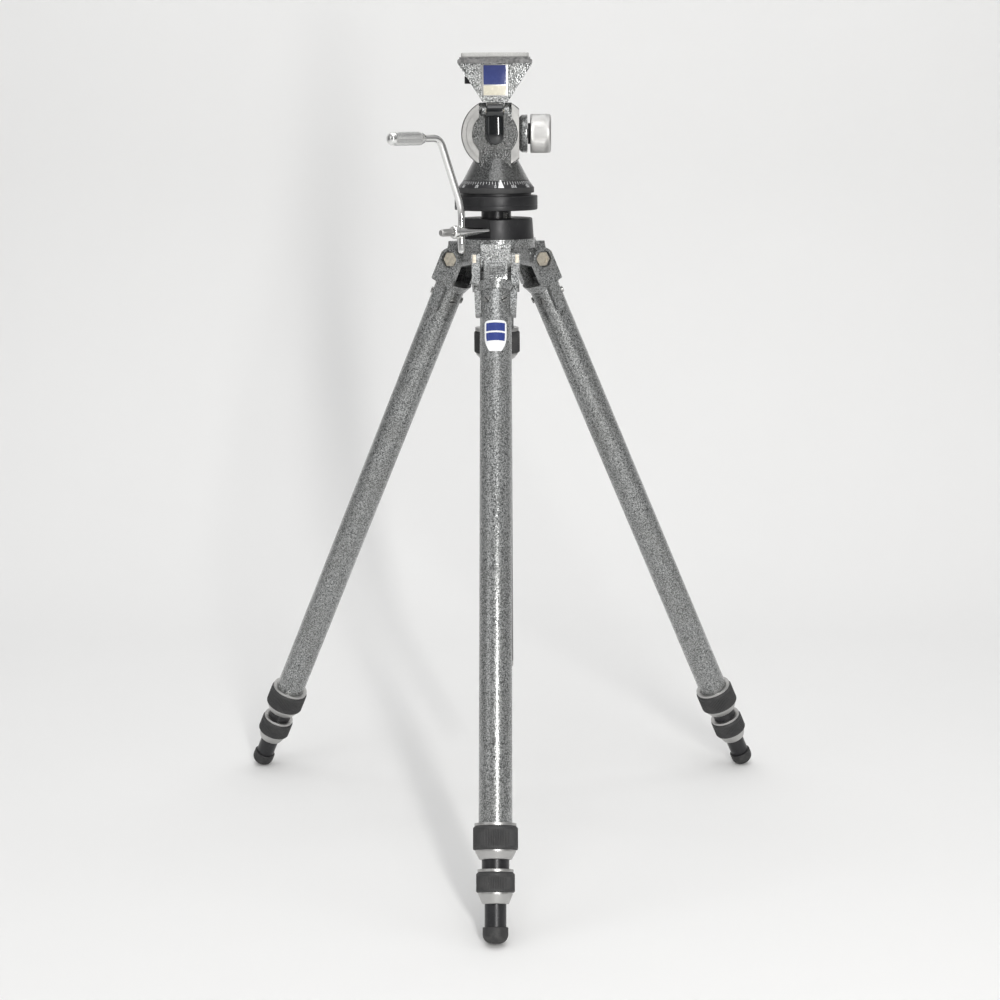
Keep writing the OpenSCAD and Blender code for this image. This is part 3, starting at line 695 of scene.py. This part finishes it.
def stop_tab(leg, place):
    """Sprung tab between the fork's ears: an enamelled face with a sunk plate, and sides painted black as the
    shadow in the gaps beside the ears.
    """
    node = f"{leg}_stop_tab"
    profile = [(10.2, -3.5), (12.6, -2.6), (13.3, -4.2), (13.3, -17.8), (12.2, -21.5), (10.2, -21.7)]

    def plate(suffix, outline, half, rounding, material):
        mesh = slab(f"{node}_{suffix}", outline, -half, half, rounding)
        new_piece(f"{node}_{suffix}", mesh, across_leg(place), f"{leg}_tab", material,
                  node)
        return mesh

    mesh = plate("face", profile, 10.7, 0.5, HAMMER)
    # The tab's two sides get black enamel: painted shadow for the dark gaps between the tab and the ears.
    mesh.materials.append(DARK_PLATE)
    for face in mesh.polygons:
        if abs(face.normal.z) > 0.9:
            face.material_index = 1
    plate("tongue", [(-4, -18.6), (11, -18.6), (11, -21.7), (-4, -21.7)], 8, 0.4, DARK_PLATE)
    # The plate takes the painted-shade copy of the hammertone; the ridge and the edge take the painted-light
    # copy.
    for suffix, top, bottom, lift, material in (("plate", -8.4, -16.6, 0.35, HAMMER_PAINTED_SHADE),
                                                ("ridge", -5.2, -6.4, 0.45, HAMMER_PAINTED_LIT),
                                                ("edge", -17.3, -18.3, 0.45, HAMMER_PAINTED_LIT)):
        outline = [(13, top), (13.3 + lift, top), (13.3 + lift, bottom), (13, bottom)]
        plate(suffix, outline, 8.6, 0.15, material)


def bolt_windows(leg, place):
    """The pivot bolt's head and nut, seen in a notch in the outer edge of each of the fork's ears."""
    outline = [(8.5, 3.2), (10.75, 3.2), (10.75, -4.4), (8.5, -4.4)]
    inner, outer = 17.3, 20.7
    for i, (low, high) in enumerate(((inner, outer), (-outer, -inner))):
        block = slab(f"{leg}_bolt_window_{i + 1}", outline, low, high, 0.3)
        new_piece(f"{leg}_bolt_window_{i + 1}", block, across_leg(place), f"{leg}_leg", NICKEL)


def sticker(name, half_width, top, bottom, place, material, height, start):
    """A thin label wrapped on the front leg's tube. half_width(down) gives its outline, so it may taper."""
    rows, columns = 56, 16
    thick = 0.08
    radius = TUBE_R["upper_tube"]
    vertices = []
    for lift in (height, height - thick):
        for r in range(rows + 1):
            down = top + (bottom - top) * r / rows
            for c in range(columns + 1):
                angle = half_width(down) * (2 * c / columns - 1) / radius
                out = radius + lift
                vertices.append((out * math.cos(angle), out * math.sin(angle), -(start + down)))
    faces = []
    width = columns + 1
    per = (rows + 1) * width
    for layer in (0, per):
        for r in range(rows):
            for c in range(columns):
                a = layer + r * width + c
                faces.append((a, a + 1, a + width + 1, a + width))
    edge = [c for c in range(columns)] + [r * width + columns for r in range(rows)]
    edge += [rows * width + c for c in range(columns, 0, -1)] + [r * width for r in range(rows, 0, -1)]
    for i, a in enumerate(edge):
        b = edge[(i + 1) % len(edge)]
        faces.append((a, b, b + per, a + per))
    new_piece(name, mesh_from(name, vertices, faces), place, "front_leg", material)


def leg_label(place):
    """Plain label on the front leg: a white shield with a blue field and a white band, no lettering."""
    tall = 28.4
    start = 59.2
    half = 10.5
    corner = 3.0
    taper_from = 14.0

    def shield(down):
        taper = max(0.0, (down - taper_from) / (tall - taper_from))
        from_corner = max(0.0, corner - down)
        rounding = corner - math.sqrt(corner ** 2 - from_corner ** 2)
        return (half - rounding) * (1 - 0.5 * taper ** 2)

    def field(down):
        return shield(down) - 1.8

    sticker("front_label_white", shield, 0, tall, place, WHITE, 0.1, start)
    for name, top, bottom in (("upper", 2.2, 9.7), ("lower", 11.3, 18.7)):
        sticker(f"front_label_blue_{name}", field, top, bottom, place, BLUE, 0.16, start)


def legs():
    for leg in LEGS:
        place = leg_place(leg)
        leg_tubes(leg, place)
        for end, outer, inner in (("upper", "upper_tube", "middle_tube"),
                                  ("lower", "middle_tube", "lower_tube")):
            lock = f"{leg}_{end}_lock"
            lock_nut(f"{lock}_nut", f"{lock}_grip", place, TUBE_R[outer], TUBE_R[inner], lock)
            lock_grip(f"{lock}_grip", place, lock)
        foot(leg, place)
        stop_tab(leg, place)
        bolt_windows(leg, place)
        fork_screws(leg, place)
    leg_label(leg_place("front"))


# ---------------------------------------------------------------- column

def plain_turned(node, place, body, slot, material, outline, rounding=0.4, closed=True, **kwargs):
    """A turned piece that stands for a CAD node."""
    mesh = turned(node, soften(outline, rounding, closed), closed=closed, **kwargs)
    new_piece(f"{node}_turned", mesh, place, body, material, node)


def column():
    lock_nut("column_lock_nut", "column_lock_grip", COLUMN, 15.5, 13.6, "column_lock")
    lock_grip("column_lock_grip", COLUMN, "column_lock")
    column_r, cap_low, cap_high = reach("column_end_cap", COLUMN)
    plain_turned("column_end_cap", COLUMN, "column", "satin_aluminium", SATIN,
                 [(0, cap_low), (column_r - 1, cap_low), (column_r, cap_low + 1), (column_r, cap_low + 6),
                  (column_r - 1.6, cap_low + 6), (column_r - 1.6, cap_high), (0, cap_high)], closed=False)
    plate_r, plate_low, step_high = reach("column_plate", COLUMN)
    plate_high = step_high - 2.5
    plain_turned("column_plate", COLUMN, "column", "black_anodised", DARK_PLATE,
                 [(column_r, plate_low), (plate_r, plate_low, 1.2), (plate_r, plate_low + 4.2, 0.1),
                  (plate_r - 0.25, plate_low + 4.5, 0.1), (plate_r, plate_low + 4.8, 0.1),
                  (plate_r, plate_high, 0.8), (32, plate_high), (32, step_high), (5, step_high),
                  (5, plate_high - 5), (column_r, plate_high - 5)], segments=160)
    ring_r, ring_low, ring_high = reach("pan_ring", COLUMN)
    plain_turned("pan_ring", COLUMN, "column", "rubber", RUBBER,
                 [(6, ring_low), (ring_r, ring_low), (ring_r, ring_high), (6, ring_high)], 0.5, segments=160)
    scale_r, scale_low, scale_high = reach("scale_ring", COLUMN)
    plain_turned("scale_ring", COLUMN, "column", "black_anodised", BLACK,
                 [(14, scale_low), (scale_r, scale_low), (SCALE_TOP_R, scale_high), (14, scale_high)], 0.25,
                 segments=160)
    graduations(scale_r, scale_low, scale_high)


DIGITS = {0: "abcdef", 1: "bc", 2: "abged", 3: "abgcd", 4: "fgbc", 5: "afgcd", 6: "afgedc", 7: "abc",
          8: "abcdefg", 9: "abcdfg"}
STROKES = {"a": (0, 1, 1, 1), "b": (1, 1, 1, 0.5), "c": (1, 0.5, 1, 0), "d": (0, 0, 1, 0), "e": (0, 0.5, 0, 0),
           "f": (0, 1, 0, 0.5), "g": (0, 0.5, 1, 0.5)}


def on_skirt(low_r, low, high, angle, up, lift):
    """A point on the scale's conical skirt, at an angle round the column and a height above its foot."""
    radius = low_r + (SCALE_TOP_R - low_r) * up / (high - low) + lift
    return radius * math.cos(angle), radius * math.sin(angle), low + up


def graduations(low_r, low, high):
    """White marks engraved on the skirt: short ones every five degrees, long ones and numbers every thirty."""
    vertices = []
    faces = []

    def stroke(x0, y0, x1, y1, width):
        along = Vector((x1 - x0, y1 - y0))
        side = Vector((-along.y, along.x)).normalized() * width / 2
        corners = [Vector((x0, y0)) + side, Vector((x0, y0)) - side, Vector((x1, y1)) - side,
                   Vector((x1, y1)) + side]
        base = len(vertices)
        for lift in (0.05, -0.15):
            for corner in corners:
                vertices.append(on_skirt(low_r, low, high, -corner.x / low_r, corner.y, lift))
        faces.extend(stack_faces(base, 4, 2))

    tall = high - low
    for mark in range(0, 360, 5):
        across = math.radians(mark) * low_r
        long_mark = mark % 30 == 0
        length = 3.0 if long_mark else (2.8 if mark % 10 == 0 else 2.2)
        stroke(across, tall - 0.35 - length, across, tall - 0.35, 0.32)
        if not long_mark:
            continue
        text = str(mark)
        for place, digit in enumerate(text):
            x = across + (place - (len(text) - 1) / 2) * 1.9 - 0.55
            for segment in DIGITS[int(digit)]:
                x0, y0, x1, y1 = STROKES[segment]
                stroke(x + x0 * 1.1, 0.5 + y0 * 1.9, x + x1 * 1.1, 0.5 + y1 * 1.9, 0.26)
    mesh = mesh_from("scale_marks", vertices, faces)
    new_piece("scale_marks", mesh, COLUMN @ Matrix.Rotation(math.radians(SCALE_TURN), 4, "Z"), "column",
              WHITE)


# ---------------------------------------------------------------- crank

def crank():
    hub_r, hub_low, hub_high = reach("crank_hub", SPINDLE)
    flange_low, flange_high = hub_high - 4.8, hub_high - 1.4
    plain_turned("crank_hub", SPINDLE, "crank", "chrome_plate", CHROME,
                 [(0, hub_low), (2.3, hub_low), (2.35, hub_low + 2), (2.6, hub_low + 10.7, 4),
                  (3.8, hub_low + 22.7, 4), (5, hub_low + 28.7, 3), (5, flange_low - 0.8, 0.2),
                  (hub_r, flange_low, 0.5), (hub_r, flange_high, 0.5), (4.9, hub_high, 0.4),
                  (3.8, hub_high, 0.2), (3.6, hub_high - 1.2, 0.2), (0, hub_high - 1.2)], 0.3, closed=False)
    screw_r, screw_low, screw_high = reach("hub_screw", SPINDLE)
    count = 28
    shoulder = hub_high + 0.3
    outline = soften([(0, screw_low), (2, screw_low), (2, shoulder), (screw_r, shoulder),
                      *[(screw_r, h) for h in levels(shoulder + 0.6, screw_high - 1.0, 1.2)],
                      (screw_r - 0.7, screw_high), (0, screw_high)], 0.4, closed=False)
    wave = grooves(count, 0.25, shoulder, screw_high - 0.6, screw_r, fade=0.6)
    mesh = turned("hub_screw", outline, False, count * 6, wave)
    new_piece("hub_screw_knurled", mesh, SPINDLE, "crank_screw", SATIN, "hub_screw", crease=50)
    crank_rod()


def bend(before, corner, after, radius, steps=10):
    """Points of a smooth bend at a corner of a path."""
    corner = Vector(corner)
    start = corner + (Vector(before) - corner).normalized() * radius
    end = corner + (Vector(after) - corner).normalized() * radius
    points = []
    for step in range(steps + 1):
        t = step / steps
        points.append((1 - t) ** 2 * start + 2 * t * (1 - t) * corner + t * t * end)
    return points


def crank_rod():
    """One bent rod: up through the hub, leaning out, and level into a knurled grip."""
    inverse = SPINDLE.inverted()
    rod = [inverse @ v.co / MM for v in NODES["crank_arm"].data.vertices]
    grip_points = [inverse @ v.co / MM for v in NODES["crank_grip"].data.vertices]
    tip = min(rod, key=lambda p: p.x)
    low_x, hub_z = tip.x, tip.z
    grip_x = (min(p.x for p in grip_points) + max(p.x for p in grip_points)) / 2
    grip_low, grip_high = min(p.z for p in grip_points), max(p.z for p in grip_points)
    grip_r = (max(p.x for p in grip_points) - min(p.x for p in grip_points)) / 2
    r = 3.2
    knee = (21, 0, hub_z)
    elbow = (grip_x, 0, grip_low - 16.3)
    path = [(low_x, 0, hub_z), (low_x + 0.5, 0, hub_z), (low_x + 1.4, 0, hub_z), (low_x + 3, 0, hub_z),
            *[(x, 0, hub_z) for x in (-8, 0, 8)]]
    radii = [1.2, 2.3, 3.0, r, r, r, r]
    knee_points = bend(path[-1], knee, elbow, 9)
    elbow_points = bend(knee, elbow, (grip_x, 0, grip_low), 8)
    path += [*knee_points, *elbow_points, (grip_x, 0, grip_low - 1), (grip_x, 0, grip_low + 1)]
    radii += [r] * (len(path) - len(radii))
    mesh = swept("crank_arm", path, radii)
    new_piece("crank_arm_bent", mesh, SPINDLE, "crank_handle", CHROME, "crank_arm")
    count = 36
    body_low, body_high = grip_low + 5, grip_high - 5
    outline = soften([(0, grip_low), (r, grip_low), (4.4, grip_low + 1.6), (grip_r, grip_low + 5, 1.5),
                      *[(grip_r, h) for h in levels(body_low + 1, body_high - 1, 1.5)],
                      (grip_r, body_high, 1.5), (4.9, grip_high - 1.9, 1.2), (2.6, grip_high - 0.3, 0.8),
                      (0, grip_high)], 0.5, closed=False)
    wave = grooves(count, 0.3, body_low, body_high, grip_r, fade=1.0)
    mesh = turned("crank_grip", outline, False, count * 6, wave)
    new_piece("crank_grip_knurled", mesh, SPINDLE @ Matrix.Translation((grip_x * MM, 0, 0)), "crank_handle",
              CHROME, "crank_grip", crease=50)


# ---------------------------------------------------------------- head

def clamp():
    """Boss and knurled knob on the drum's side."""
    boss_r, boss_low, boss_high = reach("clamp_boss", CLAMP)
    # The boss takes the painted-shade copy of the hammertone.
    plain_turned("clamp_boss", CLAMP, "drum", "hammertone_paint", HAMMER_PAINTED_SHADE,
                 [(4.1, boss_low), (14.4, boss_low), (boss_r, boss_low + 2.6), (boss_r, boss_high),
                  (4.1, boss_high)], 0.7)
    knob_r, knob_low, knob_high = reach("clamp_knob", CLAMP)
    neck_low, neck_high = boss_high + 0.3, 31.2
    outline = soften([(0, knob_low), (4, knob_low), (4, neck_low), (9.3, neck_low), (9.3, neck_high, 0.1),
                      (0, neck_high, 0.1)], 0.3, closed=False)
    new_piece("clamp_knob_neck", turned("clamp_neck", outline, False), CLAMP, "clamp",
              DARK_PLATE, "clamp_knob")
    count = 110
    outline = soften([(0, neck_high + 0.6), (9.3, neck_high + 0.6), (9.3, neck_high), (knob_r - 0.6, neck_high),
                      (knob_r, neck_high + 0.8),
                      *[(knob_r, h) for h in levels(neck_high + 1.2, knob_high - 3.6, 1.4)],
                      (knob_r, knob_high - 2.6, 0.5), (knob_r - 0.4, knob_high - 1.0, 0.5),
                      (knob_r - 1.6, knob_high, 0.7), (knob_r - 5, knob_high, 0.3),
                      (knob_r - 5.6, knob_high - 0.5, 0.3), (3, knob_high - 0.5), (0, knob_high - 0.5)], 0.4,
                     closed=False)
    wave = grooves(count, 0.28, neck_high + 1.0, knob_high - 3.4, knob_r, fade=0.7)
    new_piece("clamp_knob_knurled", turned("clamp_knob", outline, False, count * 5, wave), CLAMP, "clamp",
              SATIN, "clamp_knob", crease=50)


def paddle_mesh(bottom, top, middle_y, half):
    """Paddle with a round lower end and softly square sections, thinner towards its tip."""
    rows, sides = 34, 40
    deep = 3.5
    squareness = 0.8
    vertices = []
    for r in range(rows + 1):
        from_tip = (top - bottom) * (r / rows) ** 1.25
        wide = half if from_tip > half else math.sqrt(max(0.0, half ** 2 - (half - from_tip) ** 2))
        wide = max(wide, 0.25)
        depth = deep * min(1.0, 0.35 + 0.65 * math.sqrt(min(1.0, from_tip / 9)))
        for s in range(sides):
            angle = 2 * math.pi * s / sides
            c, n = math.cos(angle), math.sin(angle)
            x = wide * math.copysign(abs(c) ** squareness, c)
            y = depth * math.copysign(abs(n) ** squareness, n)
            vertices.append((x, middle_y + y, bottom + from_tip))
    return mesh_from("lever_paddle", vertices, stack_faces(0, sides, rows + 1))


def lever():
    """Glossy lever: a round barrel between the yoke's arms, a paddle below it and a pin through it."""
    low, high = box_mm("lock_lever")
    pivot = Vector(JOINTS["lever_turn"]["pos_m"]) / MM
    half = 7.7
    barrel_r = 6.4
    pin_r = 2
    new_piece("lock_lever_paddle", paddle_mesh(low.z, pivot.z + 1.5, pivot.y + 0.5, half), Matrix.Identity(4),
              "lever", GLOSS, "lock_lever", crease=60)
    across = place_at(pivot * MM, (0, 0, 1), (1, 0, 0))
    outline = [(0, -half), (barrel_r, -half, 1.4), (barrel_r, half, 1.4), (0, half)]
    mesh = turned("lever_barrel", soften(outline, 1.4, False, 5), False)
    new_piece("lock_lever_barrel", mesh, across, "lever", GLOSS, "lock_lever")
    outline = [(0, low.x), (pin_r, low.x, 0.3), (pin_r, high.x, 0.3), (0, high.x)]
    mesh = turned("lever_pin", soften(outline, 0.3, False), False, 48)
    new_piece("lock_lever_pin", mesh, across, "lever", NICKEL, "lock_lever")


def rounded_rectangle(half_x, half_y, radius, steps=8):
    """Outline of a rectangle with round corners."""
    points = []
    for cx, cy, start in ((1, 1, 0), (-1, 1, 90), (-1, -1, 180), (1, -1, 270)):
        for step in range(steps + 1):
            angle = math.radians(start + 90 * step / steps)
            points.append((cx * (half_x - radius) + radius * math.cos(angle),
                           cy * (half_y - radius) + radius * math.sin(angle)))
    return points


def pad():
    """Soft pad on the camera platform, with a hole for the camera screw."""
    low, high = box_mm("platform_pad")
    middle = Vector(((low.x + high.x) / 2, (low.y + high.y) / 2, 0))
    outline = rounded_rectangle((high.x - low.x) / 2, (high.y - low.y) / 2, 4)
    mesh = slab("platform_pad", outline, low.z, high.z, 0.8)
    hole_cut(mesh, 4.3)
    new_piece("platform_pad_soft", mesh, Matrix.Translation(middle * MM), "platform", PAD,
              "platform_pad")


def badge():
    """The blank badge on the platform's front: a satin rim, a blue field and a cream one."""
    low, high = box_mm("badge_plate")
    wide, tall = high.x - low.x, high.z - low.z
    face = Matrix.Translation(Vector((0, high.y, low.z)) * MM) @ Matrix.Rotation(math.radians(90), 4, "X")
    rim = [(x, y + tall / 2) for x, y in rounded_rectangle(wide / 2, tall / 2, 1.2)]
    new_piece("badge_rim", slab("badge_rim", rim, 0, 0.7, 0.25), face, "platform", SATIN,
              "badge_plate")
    inset = 0.7
    split = 9.2
    blue = [(x, y + (tall + split) / 2) for x, y in
            rounded_rectangle(wide / 2 - inset - 0.6, (tall - split) / 2 - inset, 0.8)]
    cream = [(x, y + split / 2 + inset * 0.4) for x, y in
             rounded_rectangle(wide / 2 - inset - 0.6, split / 2 - inset * 0.6, 0.6)]
    for name, shape, material in (("badge_blue", blue, BADGE_BLUE), ("badge_cream", cream, CREAM)):
        new_piece(name, slab(name, shape, 0.3, 1.05, 0.25), face, "platform", material,
                  "badge_plate")


def hole_cut(mesh, radius):
    """Cuts a round hole down through a mesh's middle, with a boolean."""
    cutter_mesh = turned("cutter", [(0, -5000), (radius, -5000), (radius, 5000), (0, 5000)], False, 48)
    cutter = linked("cutter", cutter_mesh)
    target = linked("target", mesh)
    cut = target.modifiers.new("cut", "BOOLEAN")
    cut.operation = "DIFFERENCE"
    cut.object = cutter
    cut.solver = "EXACT"
    evaluated = target.evaluated_get(bpy.context.evaluated_depsgraph_get())
    result = bpy.data.meshes.new_from_object(evaluated)
    work = bmesh.new()
    work.from_mesh(result)
    work.to_mesh(mesh)
    work.free()
    for item in (cutter, target):
        bpy.data.objects.remove(item)
    bpy.data.meshes.remove(cutter_mesh)
    bpy.data.meshes.remove(result)


def pan_index():
    """White index mark on the panning base, over the scale."""
    ring_r, low, high = reach("scale_ring", COLUMN)
    vertices = []
    place = COLUMN @ Matrix.Rotation(math.radians(INDEX_AZIMUTH), 4, "Z")
    top = high - low + 1.4
    for lift in (0.35, 0.12):
        for across, up in ((-2.7, 0.3), (2.7, 0.3), (0.5, top), (-0.5, top)):
            vertices.append(on_skirt(ring_r, low, high, across / ring_r, up, lift))
    mesh = mesh_from("pan_index", vertices, stack_faces(0, 4, 2))
    new_piece("pan_index_mark", mesh, place, "pan", WHITE)


def head():
    clamp()
    lever()
    pad()
    badge()
    pan_index()


# ---------------------------------------------------------------- studio

def camera():
    """The camera stands in front of the tripod at the height of its head, and looks down a little."""
    data = bpy.data.cameras.new("camera")
    data.sensor_width = 36
    data.lens = 66.29
    cam = linked("camera", data)
    middle = COLUMN.translation
    position = Vector((middle.x + 0.0263, middle.y - 1.691, 0.660))
    turn = Matrix.Rotation(math.radians(0.83), 4, "Z") @ Matrix.Rotation(math.radians(90 - 11.64), 4, "X")
    turn = turn @ Matrix.Rotation(math.radians(-0.37), 4, "Z")
    cam.matrix_world = Matrix.Translation(position) @ turn
    bpy.context.scene.camera = cam


def area_light(name, position, target, size, power, colour=(1, 1, 1)):
    data = bpy.data.lights.new(name, "AREA")
    data.shape = "RECTANGLE"
    data.size, data.size_y = size
    data.energy = power
    data.color = colour
    aim = (Vector(target) - Vector(position)).to_track_quat("-Z", "Y")
    linked(name, data).matrix_world = Matrix.Translation(Vector(position)) @ aim.to_matrix().to_4x4()


def floor_and_wall():
    """A pale floor that curves up into a wall."""
    wide, near, far, tall, curve = 6.0, -5.0, 1.3, 4.0, 0.6
    profile = [(near, 0.0), (far - curve, 0.0)]
    for step in range(1, 17):
        angle = math.pi / 2 * step / 16
        profile.append((far - curve + curve * math.sin(angle), curve - curve * math.cos(angle)))
    profile.append((far, tall))
    vertices = []
    for y, z in profile:
        vertices += [(-wide, y, z), (wide, y, z)]
    faces = [(2 * i, 2 * i + 1, 2 * i + 3, 2 * i + 2) for i in range(len(profile) - 1)]
    mesh = bpy.data.meshes.new("studio_sweep")
    mesh.from_pydata(vertices, [], faces)
    mesh.materials.append(studio_white("studio_white", (0.825, 0.825, 0.822)))
    mesh.polygons.foreach_set("use_smooth", [True] * len(mesh.polygons))
    sweep = linked("studio_sweep", mesh)


def lights():
    """A narrow key light for the bright lines down the tubes, and wide soft ones."""
    middle = (0, 0.07, 0.42)
    area_light("key", (0.47, -2.05, 0.95), middle, (0.10, 1.2), 29, (1.0, 0.99, 0.97))
    area_light("top", (0.1, -0.9, 2.5), middle, (1.4, 1.4), 13)
    area_light("fill", (-2.0, -1.5, 1.2), middle, (1.2, 1.6), 5)
    area_light("wall_wash", (0, 0.35, 2.5), (0, 1.3, 0.5), (2.6, 0.5), 13)


def surround():
    """A soft sky that lights the tripod. Past the floor, the camera sees an even pale surround."""
    world = bpy.data.worlds.new("studio")
    world.use_nodes = True
    tree = world.node_tree
    direction = tree.nodes.new("ShaderNodeTexCoord")
    split = tree.nodes.new("ShaderNodeSeparateXYZ")
    shade = tree.nodes.new("ShaderNodeValToRGB")
    tree.links.new(direction.outputs["Generated"], split.inputs["Vector"])
    tree.links.new(split.outputs["Z"], shade.inputs["Fac"])
    shade.color_ramp.elements[0].color = (0.32, 0.32, 0.32, 1)
    shade.color_ramp.elements[1].color = (0.95, 0.95, 0.95, 1)
    background = tree.nodes["Background"]
    tree.links.new(shade.outputs["Color"], background.inputs["Color"])
    background.inputs["Strength"].default_value = 0.62
    seen = tree.nodes.new("ShaderNodeBackground")
    seen.inputs["Color"].default_value = (0.80, 0.80, 0.79, 1)
    rays = tree.nodes.new("ShaderNodeLightPath")
    choice = tree.nodes.new("ShaderNodeMixShader")
    tree.links.new(rays.outputs["Is Camera Ray"], choice.inputs["Fac"])
    tree.links.new(background.outputs["Background"], choice.inputs[1])
    tree.links.new(seen.outputs["Background"], choice.inputs[2])
    tree.links.new(choice.outputs["Shader"], tree.nodes["World Output"].inputs["Surface"])
    bpy.context.scene.world = world
    bpy.context.scene.view_settings.view_transform = "Standard"


# ---------------------------------------------------------------- assembly

camera()
floor_and_wall()
lights()
surround()
finish_nodes()
legs()
column()
crank()
head()

bpy.context.view_layer.update()
